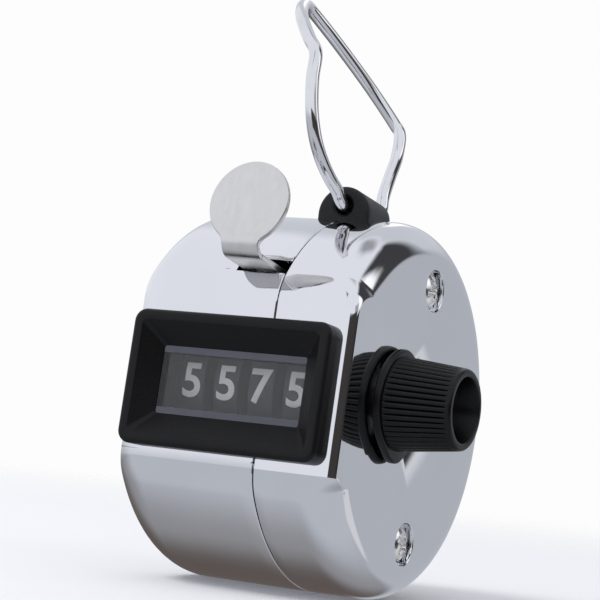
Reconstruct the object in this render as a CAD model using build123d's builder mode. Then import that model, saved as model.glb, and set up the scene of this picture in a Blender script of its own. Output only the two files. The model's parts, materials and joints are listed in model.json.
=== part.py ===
from build123d import *
import os
from math import atan2, cos, degrees, radians, sin

# Hand tally counter, in millimetres. The drum's axis is X, the window faces -Y and the
# finger ring stands up along +Z. The origin is on the drum's axis at mid-width.

os.makedirs("parts", exist_ok=True)

# ---------------------------------------------------------------- driving dimensions
case_radius = 22.5          # drum
case_width = 29.8
wall = 0.8
plain_end_round = 5.05      # edge radius at the plain end, -X
knob_end_round = 4.24       # edge radius at the knob end, +X
seam_x = 4.9                # where the two shells meet
seam_gap = 0.10
seat_y = -19.7              # flat seat of the window frame, at mid-height
seat_tilt = 4.2             # degrees that the seat leans back
seat_low, seat_high = -8.3, 9.6     # ends of the squared-up part of the seat, at the knob end
seat_round = 1.0
seat_bevel = 1.6
seat_blend = 7.0            # radius that eases the seat into the drum
sleeve_thickness = 0.5      # overlap behind the seam
sleeve_reach = 1.6
sleeve_clearance = 0.05

window_x, window_z = 0.55, 0.68     # centre of the sight, up the seat
bezel_x, bezel_z = 0.35, 0.7        # centre of the bezel, up the seat
bezel_width, bezel_height = 25.6, 15.65
bezel_proud = 1.85                  # bezel's front, outward from the seat
bezel_corner = 1.5
rim = 1.3                           # flat rim around the bezel's sloping reveal
sight_width, sight_height = 18.5, 7.85
lens_proud = 0.1                    # lens's front, outward from the seat
lens_thickness = 1.1
lens_overlap = 0.9
skirt_inset = 1.0
skirt_depth = 1.4                   # skirt's back, inward from the seat

wheel_y, wheel_z = -6.95, 0.79      # axis of the wheels, the shaft and the knob
wheel_radius = 9.4
wheel_pitch = 4.56
wheel_width = 3.3
rim_thickness = 1.2
web_thickness = 0.9
hub_radius = 2.6
shaft_radius = 1.5
running_clearance = 0.05

ratchet_teeth = 10
ratchet_outer, ratchet_root, carry_root = 4.6, 3.6, 3.1
ratchet_width = 0.8
finger_width = 0.6
finger_offset = 0.63                # from a wheel's left face to the middle of its finger
tip_clearance = 0.25

plate_radius = 20.0
plate_front_y = -17.2
left_plate_x, right_plate_x = -11.6, 11.2   # left faces of the two side plates
plate_thickness = 0.8
post_radius = 1.2

knob_end_x = 24.1
knob_root_radius, knob_end_radius = 5.5, 4.68
knob_hollow_radius, knob_hollow_depth = 3.77, 5.6
knob_ribs = 46
flange_x = 15.15
flange_radius, flange_thickness = 6.05, 1.0

lever_x = 1.6                       # middle of the thumb lever
lever_sheet = 0.7
neck_width = 4.6
pad_radius = 4.95
slot_left, slot_top_angle, slot_low_angle = -1.7, -44.9, -54.3
pivot_y, pivot_z = -13.0, 12.25
pivot_radius = 1.0
pawl_pin_y, pawl_pin_z = 2.0, 11.5
pawl_pin_radius = 0.6
spring_y, spring_top_z, spring_low_z = 7.5, 11.3, -6.0
spring_x = -8.6
spring_coil_radius, spring_wire, spring_turns = 1.0, 0.4, 13

screw_places = [(1.7, 14.8), (0.4, -15.5)]  # Y, Z of the case screws
screw_head_radius, screw_recess_radius = 2.0, 2.5
screw_recess_floor = 13.8

bore_x, bore_z, bore_radius = 4.85, 23.75, 1.15     # bore through the ring's lug
lug_front_y, lug_rear_y = -5.0, 3.6
ring_wire = 1.6

seat_plane = Plane((0, seat_y, 0), x_dir=(1, 0, 0),
                   z_dir=(0, -cos(radians(seat_tilt)), sin(radians(seat_tilt))))
wheel_names = ["thousands", "hundreds", "tens", "units"]
half_width = case_width / 2
wheel_centres = [window_x + (place - 1.5) * wheel_pitch for place in range(4)]


# ---------------------------------------------------------------- shared shapes
def on_drum(radius, angle):
    """Y and Z of a point at an angle from straight up, positive to the rear."""
    return radius * sin(radians(angle)), radius * cos(radians(angle))


def about_wheel(radius, angle):
    """Y and Z of a point about the wheel axis, at an angle from straight back."""
    return (wheel_y + radius * cos(radians(angle)), wheel_z + radius * sin(radians(angle)))


def drum_section(inset):
    """Cross-section of the drum with its flat seat, moved in evenly by inset."""
    flat_y = seat_y + inset / cos(radians(seat_tilt))
    with BuildSketch() as section:
        Circle(case_radius - inset)
        with Locations(Location((flat_y, 0, 0), (0, 0, -seat_tilt))):
            Rectangle(20, 60, align=(Align.MAX, Align.CENTER), mode=Mode.SUBTRACT)
        fillet(section.vertices(), seat_blend - inset)
    return section.sketch


def drum_block(inset):
    """Solid drum with its seat, rounded at both ends, moved in evenly by inset."""
    half = half_width - inset
    with BuildPart() as block:
        with BuildSketch(Plane.YZ.offset(-half)):
            add(drum_section(inset))
        extrude(amount=2 * half)
        fillet(block.faces().sort_by(Axis.X)[0].edges(), plain_end_round - inset)
        fillet(block.faces().sort_by(Axis.X)[-1].edges(), knob_end_round - inset)
        add(seat_pad(inset))
    return block.part


def seat_pad(inset):
    """Prism that squares up the knob end of the seat, bevelled at its top."""
    low = seat_low + inset
    height = seat_high - inset - low
    length = half_width - inset
    foot = Plane(seat_plane.from_local_coords((0, low, 0)), x_dir=(1, 0, 0), z_dir=seat_plane.y_dir)
    with BuildPart() as pad:
        with BuildSketch(foot) as outline:
            with Locations((0, inset)):
                Rectangle(length, 9.0, align=(Align.MIN, Align.MIN))
            front = outline.vertices().group_by(Axis.Y)[0]
            fillet(front.sort_by(Axis.X)[-1], max(seat_round - inset, 0.2))
        extrude(amount=height)
        with BuildSketch(seat_plane) as front_view:
            with Locations((0, low)):
                Rectangle(length, height, align=(Align.MIN, Align.MIN))
            top = front_view.vertices().group_by(Axis.Y)[-1]
            chamfer(top.sort_by(Axis.X)[-1], seat_bevel)
        extrude(amount=30, both=True, mode=Mode.INTERSECT)
    return pad.part


def disc(x, radius, thickness, y=wheel_y, z=wheel_z):
    """Round plate facing X, with its left face at x."""
    with BuildPart(mode=Mode.PRIVATE) as plate:
        with BuildSketch(Plane.YZ.offset(x)):
            with Locations((y, z)):
                Circle(radius)
        extrude(amount=thickness)
    return plate.part


def link(x, thickness, end_a, radius_a, end_b, radius_b):
    """Flat link facing X, rounded about two points."""
    with BuildPart(mode=Mode.PRIVATE) as arm:
        with BuildSketch(Plane.YZ.offset(x)):
            with Locations(end_a):
                Circle(radius_a)
            with Locations(end_b):
                Circle(radius_b)
            make_hull()
        extrude(amount=thickness)
    return arm.part


def window_cut(margin, front, depth):
    """Rounded block of the window frame's skirt, grown by margin, from front inward."""
    width = bezel_width - 2 * skirt_inset + 2 * margin
    height = bezel_height - 2 * skirt_inset + 2 * margin
    with BuildPart(mode=Mode.PRIVATE) as cut:
        with BuildSketch(seat_plane.offset(front)):
            with Locations((bezel_x, bezel_z)):
                RectangleRounded(width, height, 0.8)
        extrude(amount=-depth)
    return cut.part


def lever_slot():
    """Radial block of the thumb lever's slot, up to the seam."""
    corners = [on_drum(19.5, slot_low_angle), on_drum(24.5, slot_low_angle),
               on_drum(24.5, slot_top_angle), on_drum(19.5, slot_top_angle)]
    with BuildPart(mode=Mode.PRIVATE) as slot:
        with BuildSketch(Plane.YZ.offset(slot_left)):
            with BuildLine():
                Polyline(*corners, close=True)
            make_face()
        extrude(amount=seam_x + seam_gap - slot_left)
    return slot.part


def lug_neck(margin):
    """Neck of the ring's lug, where it passes through the shells."""
    with BuildPart(mode=Mode.PRIVATE) as neck:
        with BuildSketch(Plane.XY.offset(20.0)):
            with Locations((bore_x, -0.7)):
                Rectangle(2.4 + 2 * margin, 5.2 + 2 * margin)
        extrude(amount=3.2)
    return neck.part


# ---------------------------------------------------------------- case
with BuildPart() as left_shell:
    add(drum_block(0))
    add(drum_block(wall), mode=Mode.SUBTRACT)
    split(bisect_by=Plane.YZ.offset(seam_x - seam_gap / 2), keep=Keep.BOTTOM)
    with BuildSketch(Plane.YZ.offset(seam_x - sleeve_reach)):
        add(drum_section(wall))
        add(drum_section(wall + sleeve_thickness), mode=Mode.SUBTRACT)
    extrude(amount=sleeve_reach - seam_gap / 2)
    with BuildSketch(Plane.YZ.offset(seam_x - seam_gap / 2 - 0.4)):
        add(drum_section(wall + sleeve_clearance))
        add(drum_section(wall + sleeve_thickness), mode=Mode.SUBTRACT)
    extrude(amount=sleeve_reach)
    add(window_cut(0, bezel_proud, 2 * bezel_proud + wall), mode=Mode.SUBTRACT)
    add(lever_slot(), mode=Mode.SUBTRACT)
    add(lug_neck(0.05), mode=Mode.SUBTRACT)
left_shell.part.label = "left_shell"
export_step(left_shell.part, "parts/left_shell.step")

with BuildPart() as right_shell:
    add(drum_block(0))
    add(drum_block(wall), mode=Mode.SUBTRACT)
    split(bisect_by=Plane.YZ.offset(seam_x + seam_gap / 2), keep=Keep.TOP)
    for screw_y, screw_z in screw_places:
        add(disc(13.0, 3.3, half_width - 13.0, screw_y, screw_z))
        add(disc(screw_recess_floor, screw_recess_radius, 3.0, screw_y, screw_z), mode=Mode.SUBTRACT)
        add(disc(12.0, 1.15, 4.0, screw_y, screw_z), mode=Mode.SUBTRACT)
    add(disc(12.0, 2.2, 6.0), mode=Mode.SUBTRACT)
    add(window_cut(0, bezel_proud, 2 * bezel_proud + wall), mode=Mode.SUBTRACT)
    add(lug_neck(0.05), mode=Mode.SUBTRACT)
right_shell.part.label = "right_shell"
export_step(right_shell.part, "parts/right_shell.step")

# The bezel: a flange on the seat, a sloping reveal and a skirt that holds the lens.
with BuildPart() as window_frame:
    with BuildSketch(seat_plane):
        with Locations((bezel_x, bezel_z)):
            RectangleRounded(bezel_width, bezel_height, bezel_corner)
    extrude(amount=bezel_proud)
    front_edges = window_frame.faces().sort_by(seat_plane.location.z_axis)[-1].edges()
    fillet(front_edges, 0.45)
    add(window_cut(-0.1, 0, skirt_depth))
    with BuildSketch(seat_plane.offset(bezel_proud)):
        with Locations((bezel_x, bezel_z)):
            Rectangle(bezel_width - 2 * rim, bezel_height - 2 * rim)
    with BuildSketch(seat_plane.offset(lens_proud)):
        with Locations((window_x, window_z)):
            Rectangle(sight_width, sight_height)
    loft(mode=Mode.SUBTRACT)
    with BuildSketch(seat_plane.offset(lens_proud)):
        with Locations((window_x, window_z)):
            Rectangle(sight_width + 2 * lens_overlap, sight_height + 2 * lens_overlap)
    extrude(amount=-(skirt_depth + 1), mode=Mode.SUBTRACT)
window_frame.part.label = "window_frame"
export_step(window_frame.part, "parts/window_frame.step")

with BuildPart() as window_lens:
    with BuildSketch(seat_plane.offset(lens_proud)):
        with Locations((window_x, window_z)):
            Rectangle(sight_width + 2 * lens_overlap - 0.1, sight_height + 2 * lens_overlap - 0.1)
    extrude(amount=-lens_thickness)
    chamfer(window_lens.faces().sort_by(seat_plane.location.z_axis)[0].edges(), 0.2)
window_lens.part.label = "window_lens"
export_step(window_lens.part, "parts/window_lens.step")

# ---------------------------------------------------------------- wheels
for place, name in enumerate(wheel_names):
    face_x = wheel_centres[place] - wheel_width / 2     # left face of this wheel
    with BuildPart() as number_wheel:
        add(disc(face_x, wheel_radius, wheel_width))
        rim_edges = number_wheel.edges().filter_by(GeomType.CIRCLE)
        fillet(rim_edges, 0.2)
        add(disc(face_x + web_thickness, wheel_radius - rim_thickness, 5.0), mode=Mode.SUBTRACT)
        add(disc(face_x + web_thickness, hub_radius, 0.7))
        add(disc(face_x - 1.0, shaft_radius + running_clearance, 9.0), mode=Mode.SUBTRACT)
    number_wheel.part.label = f"{name}_wheel"
    export_step(number_wheel.part, f"parts/{name}_wheel.step")

    pitch_angle = 360 / ratchet_teeth
    outline = []
    for tooth in range(ratchet_teeth):
        root = carry_root if tooth == 0 else ratchet_root
        outline.append(about_wheel(ratchet_outer, tooth * pitch_angle))
        outline.append(about_wheel(root, tooth * pitch_angle + 3))
        outline.append(about_wheel(root, tooth * pitch_angle + 8))
    with BuildPart() as ratchet:
        with BuildSketch(Plane.YZ.offset(face_x - ratchet_width)):
            with BuildLine():
                Polyline(*outline, close=True)
            make_face()
            with Locations((wheel_y, wheel_z)):
                Circle(shaft_radius + running_clearance, mode=Mode.SUBTRACT)
        extrude(amount=ratchet_width)
    ratchet.part.label = f"{name}_ratchet"
    export_step(ratchet.part, f"parts/{name}_ratchet.step")

    catch_x = face_x + web_thickness + 1.0
    with BuildPart() as catch:
        add(link(catch_x, 0.4, about_wheel(5.6, 30), 1.0, about_wheel(1.98, 100), 0.35))
        add(disc(face_x + web_thickness, 0.6, 1.2, *about_wheel(5.6, 30)))
    catch.part.label = f"{name}_catch"
    export_step(catch.part, f"parts/{name}_catch.step")

# ---------------------------------------------------------------- shaft and knob
shaft_left_x = -13.0
shaft_right_x = 18.3
clip_x = -12.35
with BuildPart() as wheel_shaft:
    add(disc(shaft_left_x, shaft_radius, shaft_right_x - shaft_left_x))
    chamfer(wheel_shaft.edges().filter_by(GeomType.CIRCLE), 0.2)
    with BuildSketch(Plane.YZ.offset(clip_x)):
        with Locations((wheel_y, wheel_z)):
            Circle(shaft_radius + 1)
            Circle(shaft_radius - 0.35, mode=Mode.SUBTRACT)
    extrude(amount=0.45, mode=Mode.SUBTRACT)
    groove_length = wheel_pitch * 4 + 1.0
    with Locations((window_x, wheel_y, wheel_z + shaft_radius)):
        Box(groove_length, 0.8, 1.0, mode=Mode.SUBTRACT)
wheel_shaft.part.label = "wheel_shaft"
export_step(wheel_shaft.part, "parts/wheel_shaft.step")

with BuildPart() as shaft_clip:
    with BuildSketch(Plane.YZ.offset(clip_x + 0.02)):
        with Locations((wheel_y, wheel_z)):
            Circle(2.7)
            Circle(shaft_radius - 0.33, mode=Mode.SUBTRACT)
            with Locations((0, -2)):
                Rectangle(1.5, 4, mode=Mode.SUBTRACT)
    extrude(amount=0.4)
shaft_clip.part.label = "shaft_clip"
export_step(shaft_clip.part, "parts/shaft_clip.step")

# The knob tapers towards its hollow end and carries fine ribs all round.
barrel_x = flange_x + flange_thickness
barrel_length = knob_end_x - barrel_x
barrel_taper = degrees(atan2(knob_root_radius - knob_end_radius, barrel_length))
middle_radius = (knob_root_radius + knob_end_radius) / 2
knob_plane = Plane(origin=(barrel_x, wheel_y, wheel_z), x_dir=(0, 1, 0), z_dir=(1, 0, 0))
with BuildPart(knob_plane) as reset_knob:
    Cone(knob_root_radius, knob_end_radius, barrel_length, align=(Align.CENTER, Align.CENTER, Align.MIN))
    fillet(reset_knob.edges().sort_by(Axis.X)[-1], 0.3)
    with Locations((0, 0, barrel_length / 2)):
        with PolarLocations(middle_radius + 0.1, knob_ribs):
            Cylinder(0.25, barrel_length - 1.6, rotation=(0, -barrel_taper, 0), mode=Mode.SUBTRACT)
    with BuildSketch(knob_plane.offset(-flange_thickness)):
        Circle(flange_radius)
        with Locations((0, -5.2)):
            Circle(1.7)
        make_hull()
    extrude(amount=flange_thickness)
    fillet(reset_knob.faces().sort_by(Axis.X)[0].edges(), 0.25)
    with Locations((0, 0, barrel_length)):
        Cylinder(knob_hollow_radius, knob_hollow_depth,
                 align=(Align.CENTER, Align.CENTER, Align.MAX), mode=Mode.SUBTRACT)
    Cylinder(shaft_radius, 30, mode=Mode.SUBTRACT)
reset_knob.part.label = "reset_knob"
export_step(reset_knob.part, "parts/reset_knob.step")

# ---------------------------------------------------------------- movement frame
post_places = [(-14.5, -8.5), (14.0, 8.0), (-1.5, -12.0)]
spigot_radius = 0.7
plate_gap_left = left_plate_x + plate_thickness


def side_plate(x, screw_hole_radius):
    """Side plate of the movement, cut off straight behind the window frame."""
    with BuildPart(mode=Mode.PRIVATE) as plate:
        with BuildSketch(Plane.YZ.offset(x)):
            Circle(plate_radius)
            with Locations((plate_front_y, 0)):
                Rectangle(20, 60, align=(Align.MAX, Align.CENTER), mode=Mode.SUBTRACT)
            with Locations((wheel_y, wheel_z)):
                Circle(shaft_radius + running_clearance, mode=Mode.SUBTRACT)
            with Locations((pivot_y, pivot_z)):
                Circle(pivot_radius, mode=Mode.SUBTRACT)
            with Locations(*post_places):
                Circle(spigot_radius, mode=Mode.SUBTRACT)
            with Locations(*screw_places):
                Circle(screw_hole_radius, mode=Mode.SUBTRACT)
            with Locations((9.5, -4.0), (6.0, -13.0)):
                Circle(2.4, mode=Mode.SUBTRACT)
        extrude(amount=plate_thickness)
    return plate.part


with BuildPart() as left_frame_plate:
    add(side_plate(left_plate_x, spigot_radius))
    add(disc(left_plate_x, pawl_pin_radius, plate_thickness, spring_y, spring_low_z), mode=Mode.SUBTRACT)
left_frame_plate.part.label = "left_frame_plate"
export_step(left_frame_plate.part, "parts/left_frame_plate.step")

with BuildPart() as right_frame_plate:
    add(side_plate(right_plate_x, 1.1))
right_frame_plate.part.label = "right_frame_plate"
export_step(right_frame_plate.part, "parts/right_frame_plate.step")

with BuildPart() as frame_posts:
    for post_y, post_z in post_places:
        add(disc(plate_gap_left, post_radius, right_plate_x - plate_gap_left, post_y, post_z))
        post_length = right_plate_x + plate_thickness - left_plate_x
        add(disc(left_plate_x, spigot_radius, post_length, post_y, post_z))
frame_posts.part.label = "frame_posts"
export_step(frame_posts.part, "parts/frame_posts.step")

with BuildPart() as left_standoffs:
    for screw_y, screw_z in screw_places:
        add(disc(wall - half_width, 1.5, left_plate_x + half_width - wall, screw_y, screw_z))
        add(disc(left_plate_x - 1, spigot_radius, plate_thickness + 1, screw_y, screw_z))
left_standoffs.part.label = "left_standoffs"
export_step(left_standoffs.part, "parts/left_standoffs.step")

boss_x = 13.0
tapped_x = right_plate_x + plate_thickness
with BuildPart() as right_standoffs:
    for screw_y, screw_z in screw_places:
        add(disc(tapped_x, 2.0, boss_x - tapped_x, screw_y, screw_z))
        add(disc(tapped_x, 1.0, boss_x - tapped_x, screw_y, screw_z), mode=Mode.SUBTRACT)
right_standoffs.part.label = "right_standoffs"
export_step(right_standoffs.part, "parts/right_standoffs.step")

with BuildPart() as case_screws:
    for screw_y, screw_z in screw_places:
        add(disc(right_plate_x + 0.2, 0.98, screw_recess_floor - right_plate_x, screw_y, screw_z))
        head_plane = Plane(origin=(screw_recess_floor, screw_y, screw_z), x_dir=(0, 1, 0), z_dir=(1, 0, 0))
        with BuildSketch(head_plane):
            Circle(screw_head_radius)
        extrude(amount=0.95, taper=18)
        with BuildSketch(head_plane.offset(1.0)):
            Rectangle(2.5, 0.5)
            Rectangle(0.5, 2.5)
        extrude(amount=-0.6, mode=Mode.SUBTRACT)
case_screws.part.label = "case_screws"
export_step(case_screws.part, "parts/case_screws.step")

# ---------------------------------------------------------------- lever and feed
bend_y, bend_z = -23.1, 15.5        # corner between the tongue and the thumb pad
pad_top_y, pad_top_z = -20.6, 26.05
lean = atan2(pad_top_y - bend_y, pad_top_z - bend_z)
pad_y = pad_top_y - pad_radius * sin(lean)
pad_z = pad_top_z - pad_radius * cos(lean)
pad_plane = Plane(origin=(lever_x, pad_y, pad_z), x_dir=(1, 0, 0), z_dir=(0, -cos(lean), sin(lean)))
eye_radius = pivot_radius + running_clearance + lever_sheet
left_arm_x, right_arm_x = -10.55, 10.2
arm_thickness = 0.6
arm_span = right_arm_x + arm_thickness - left_arm_x
pivot = (pivot_y, pivot_z)
pawl_pin_place = (pawl_pin_y, pawl_pin_z)

with BuildPart() as lever_pin:
    add(disc(left_plate_x, pivot_radius, right_plate_x + plate_thickness - left_plate_x, pivot_y, pivot_z))
lever_pin.part.label = "lever_pin"
export_step(lever_pin.part, "parts/lever_pin.step")

with BuildPart() as thumb_lever:
    with BuildSketch(Plane.YZ.offset(lever_x - 6)):
        with BuildLine():
            FilletPolyline((pivot_y, pivot_z + eye_radius - lever_sheet / 2), (bend_y, bend_z),
                           (pad_top_y + sin(lean), pad_top_z + cos(lean)), radius=1.3)
        trace(line_width=lever_sheet)
    extrude(amount=12)
    with BuildSketch(pad_plane) as pad_outline:
        Circle(pad_radius)
        Rectangle(neck_width, 20, align=(Align.CENTER, Align.MAX))
        fillet(pad_outline.vertices(), 1.5)
    extrude(amount=14, both=True, mode=Mode.INTERSECT)
    add(disc(left_arm_x, eye_radius, arm_span, pivot_y, pivot_z))
    for arm_x in (left_arm_x, right_arm_x):
        add(link(arm_x, arm_thickness, pivot, eye_radius, pawl_pin_place, 1.5))
    add(link(left_arm_x, arm_thickness, pawl_pin_place, 1.5, (spring_y, spring_top_z), 1.0))
    add(disc(left_arm_x, 0.45, 2.8, spring_y, spring_top_z))
    add(disc(left_arm_x - 1, pivot_radius + running_clearance, 30, pivot_y, pivot_z), mode=Mode.SUBTRACT)
    add(disc(left_arm_x - 1, pawl_pin_radius, 30, *pawl_pin_place), mode=Mode.SUBTRACT)
thumb_lever.part.label = "thumb_lever"
export_step(thumb_lever.part, "parts/thumb_lever.step")

with BuildPart() as pawl_pin:
    add(disc(left_arm_x, pawl_pin_radius, arm_span, *pawl_pin_place))
pawl_pin.part.label = "pawl_pin"
export_step(pawl_pin.part, "parts/pawl_pin.step")

# The feed pawl is a bracket behind the wheels, with one finger in each gap between them.
pawl_left_x, pawl_right_x = -9.7, 9.35
comb_place = (4.2, 0.6)
tip = about_wheel(ratchet_outer + tip_clearance, -22)
finger_outline = [(4.2, 1.2), (-1.4, -0.1), tip, (-1.8, -2.0), (4.2, -1.6)]
with BuildPart() as feed_pawl:
    for arm_x in (pawl_left_x, pawl_right_x):
        add(link(arm_x, arm_thickness, pawl_pin_place, 1.4, comb_place, 1.2))
    with BuildSketch(Plane.YZ.offset(pawl_left_x)):
        with Locations((4.4, -0.2)):
            Rectangle(0.8, 3.6)
    extrude(amount=pawl_right_x + arm_thickness - pawl_left_x)
    for centre in wheel_centres:
        with BuildSketch(Plane.YZ.offset(centre - wheel_width / 2 - finger_offset - finger_width / 2)):
            with BuildLine():
                Polyline(*finger_outline, close=True)
            make_face()
        extrude(amount=finger_width)
    add(disc(pawl_left_x - 1, pawl_pin_radius + running_clearance, 30, *pawl_pin_place), mode=Mode.SUBTRACT)
feed_pawl.part.label = "feed_pawl"
export_step(feed_pawl.part, "parts/feed_pawl.step")

# ---------------------------------------------------------------- springs
detent_y, detent_z = post_places[2]
leaf = 0.3
strip_z = detent_z + post_radius + leaf / 2
detent_tip = about_wheel(ratchet_outer + tip_clearance + leaf / 2, -115)
with BuildPart() as detent_spring:
    with BuildSketch(Plane.YZ.offset(-9.4)):
        with Locations((detent_y, strip_z)):
            Rectangle(5.0, leaf)
    extrude(amount=19.0)
    for centre in wheel_centres:
        with BuildSketch(Plane.YZ.offset(centre - wheel_width / 2 - finger_offset - finger_width / 2)):
            with BuildLine():
                Polyline((detent_y, strip_z), (detent_y - 2.5, strip_z), detent_tip)
            trace(line_width=leaf)
        extrude(amount=finger_width)
detent_spring.part.label = "detent_spring"
export_step(detent_spring.part, "parts/detent_spring.step")


def rod(start, end, radius):
    """Straight piece of round wire between two points."""
    with BuildPart(mode=Mode.PRIVATE) as wire:
        with BuildLine():
            run = Line(start, end)
        with BuildSketch(Plane(origin=start, z_dir=run % 0)):
            Circle(radius)
        sweep(path=run)
    return wire.part


coil_low, coil_high = spring_low_z + 1.3, spring_top_z - 1.3
wire_radius = spring_wire / 2
with BuildPart() as return_spring:
    with BuildLine():
        coil = Helix((coil_high - coil_low) / spring_turns, coil_high - coil_low, spring_coil_radius,
                     center=(spring_x, spring_y, coil_low))
    with BuildSketch(Plane(origin=coil @ 0, z_dir=coil % 0)):
        Circle(wire_radius)
    sweep(path=coil, is_frenet=True)
    for coil_end, hook_z, hook_radius in ((coil @ 0, spring_low_z, 0.85), (coil @ 1, spring_top_z, 0.7)):
        inward = 1 if coil_end.Z > hook_z else -1
        add(rod(coil_end, (spring_x, spring_y, hook_z + inward * (hook_radius - 0.08)), wire_radius))
        with Locations(coil_end):
            Sphere(wire_radius * 1.05)
        with Locations((spring_x, spring_y, hook_z)):
            Torus(hook_radius, wire_radius, rotation=(0, 90, 0))
return_spring.part.label = "return_spring"
export_step(return_spring.part, "parts/return_spring.step")

with BuildPart() as spring_anchor:
    add(disc(left_plate_x, 0.6, 5.0, spring_y, spring_low_z))
spring_anchor.part.label = "spring_anchor"
export_step(spring_anchor.part, "parts/spring_anchor.step")

pawl_coil_x, pawl_coil_length, pawl_wire = 6.0, 1.4, 0.15
with BuildPart() as pawl_spring:
    with BuildLine():
        pawl_coil = Helix(pawl_coil_length / 4.75, pawl_coil_length, 0.9,
                          center=(pawl_coil_x, pawl_pin_y, pawl_pin_z), direction=(1, 0, 0))
    with BuildSketch(Plane(origin=pawl_coil @ 0, z_dir=pawl_coil % 0)):
        Circle(pawl_wire)
    sweep(path=pawl_coil, is_frenet=True)
    first_end, second_end = pawl_coil @ 0, pawl_coil @ 1
    add(rod(first_end, (first_end.X, pivot_y + 0.5, pivot_z + eye_radius + 0.2), pawl_wire))
    add(rod(second_end, (second_end.X, 5.4, 3.2), pawl_wire))
pawl_spring.part.label = "pawl_spring"
export_step(pawl_spring.part, "parts/pawl_spring.step")

# ---------------------------------------------------------------- ring and lug
with BuildPart() as ring_lug:
    for face_y, arch_radius, arch_z in ((lug_front_y, 3.45, 22.65), (lug_rear_y, 2.3, 23.0)):
        with BuildSketch(Plane.XZ.offset(-face_y)):
            with Locations((bore_x, arch_z)):
                Circle(arch_radius)
                Rectangle(2 * arch_radius, 4.0, align=(Align.CENTER, Align.MAX))
    loft()
    with Locations((bore_x, 0, 0)):
        Cylinder(case_radius, 20, rotation=(0, 90, 0), mode=Mode.SUBTRACT)
    add(lug_neck(0))
    with Locations((bore_x, -0.7, 20.0)):
        Box(4.4, 7.2, 0.9, align=(Align.CENTER, Align.CENTER, Align.CENTER))
    with Locations((bore_x, 0, bore_z)):
        Cylinder(bore_radius, 30, rotation=(90, 0, 0), mode=Mode.SUBTRACT)
ring_lug.part.label = "ring_lug"
export_step(ring_lug.part, "parts/ring_lug.step")

# The ring's two ends lie in the lug's bore, and its top is folded over towards -X.
ring_route = [(bore_x, -2.6, bore_z), (bore_x, -6.2, bore_z), (4.4, -9.4, 27.2), (3.7, -12.3, 31.2),
              (2.8, -12.6, 37.2), (2.1, -11.2, 41.2), (-2.4, -7.2, 46.2), (-6.2, 0.0, 50.4),
              (-5.0, 4.6, 47.4), (-1.6, 9.9, 42.4), (3.1, 12.6, 35.6), (3.8, 10.0, 30.6),
              (4.45, 6.4, 26.4), (bore_x, 5.3, bore_z), (bore_x, 1.2, bore_z)]
ring_bends = [1.3, 4.0, 7.0, 8.0, 3.5, 9.0, 1.9, 5.0, 9.0, 2.2, 9.0, 5.0, 1.0]
with BuildPart() as finger_ring:
    with BuildLine():
        ring_path = FilletPolyline(*ring_route, radius=ring_bends)
    with BuildSketch(Plane(origin=ring_path @ 0, z_dir=ring_path % 0)):
        Circle(ring_wire / 2)
    sweep(path=ring_path)
finger_ring.part.label = "finger_ring"
export_step(finger_ring.part, "parts/finger_ring.step")
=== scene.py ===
import json
import math

import bmesh
import bpy
from mathutils import Matrix, Vector


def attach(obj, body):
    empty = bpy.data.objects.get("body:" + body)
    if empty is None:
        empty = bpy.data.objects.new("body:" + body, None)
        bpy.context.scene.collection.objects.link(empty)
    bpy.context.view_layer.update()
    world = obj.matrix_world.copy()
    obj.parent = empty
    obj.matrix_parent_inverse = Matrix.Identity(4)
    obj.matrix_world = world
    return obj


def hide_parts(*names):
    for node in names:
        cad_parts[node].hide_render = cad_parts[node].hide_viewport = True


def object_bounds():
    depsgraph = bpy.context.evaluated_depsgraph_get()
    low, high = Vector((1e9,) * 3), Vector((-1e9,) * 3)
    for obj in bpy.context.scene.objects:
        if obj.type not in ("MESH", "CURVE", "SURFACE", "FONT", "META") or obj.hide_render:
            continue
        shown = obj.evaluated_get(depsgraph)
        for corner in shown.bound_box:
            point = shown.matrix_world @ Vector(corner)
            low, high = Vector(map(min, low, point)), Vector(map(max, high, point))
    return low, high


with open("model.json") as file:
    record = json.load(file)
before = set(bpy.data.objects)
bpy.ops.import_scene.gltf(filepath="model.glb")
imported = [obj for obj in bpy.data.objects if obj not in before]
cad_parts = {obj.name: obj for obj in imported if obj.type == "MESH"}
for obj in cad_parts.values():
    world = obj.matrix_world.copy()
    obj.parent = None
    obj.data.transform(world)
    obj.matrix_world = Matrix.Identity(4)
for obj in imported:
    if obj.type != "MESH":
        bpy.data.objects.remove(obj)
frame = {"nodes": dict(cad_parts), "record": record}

# Everything below is worked out in millimetres in the row frame and scaled once, by MM.
MM = 0.001
cad_low, cad_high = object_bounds()

WHEEL_Y, WHEEL_Z = -6.95, 0.79
LUG_X, LUG_Z = 4.85, 23.75
SHOWN = {"thousands": 5, "hundreds": 5, "tens": 7, "units": 5}


# ------------------------------------------------------------------ mesh helpers
def add_piece(name, bm, mats, body, replaces=(), angle=32):
    """Turns a bmesh in millimetres into a piece that rides on a CAD body."""
    bmesh.ops.scale(bm, vec=(MM, MM, MM), verts=bm.verts)
    mesh = bpy.data.meshes.new(name)
    bm.to_mesh(mesh)
    bm.free()
    for mat in mats:
        mesh.materials.append(mat)
    mesh.polygons.foreach_set("use_smooth", [True] * len(mesh.polygons))
    mesh.set_sharp_from_angle(angle=math.radians(angle))
    obj = bpy.data.objects.new(name, mesh)
    bpy.context.scene.collection.objects.link(obj)
    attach(obj, body)
    if replaces:
        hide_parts(*replaces)
    return obj


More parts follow.
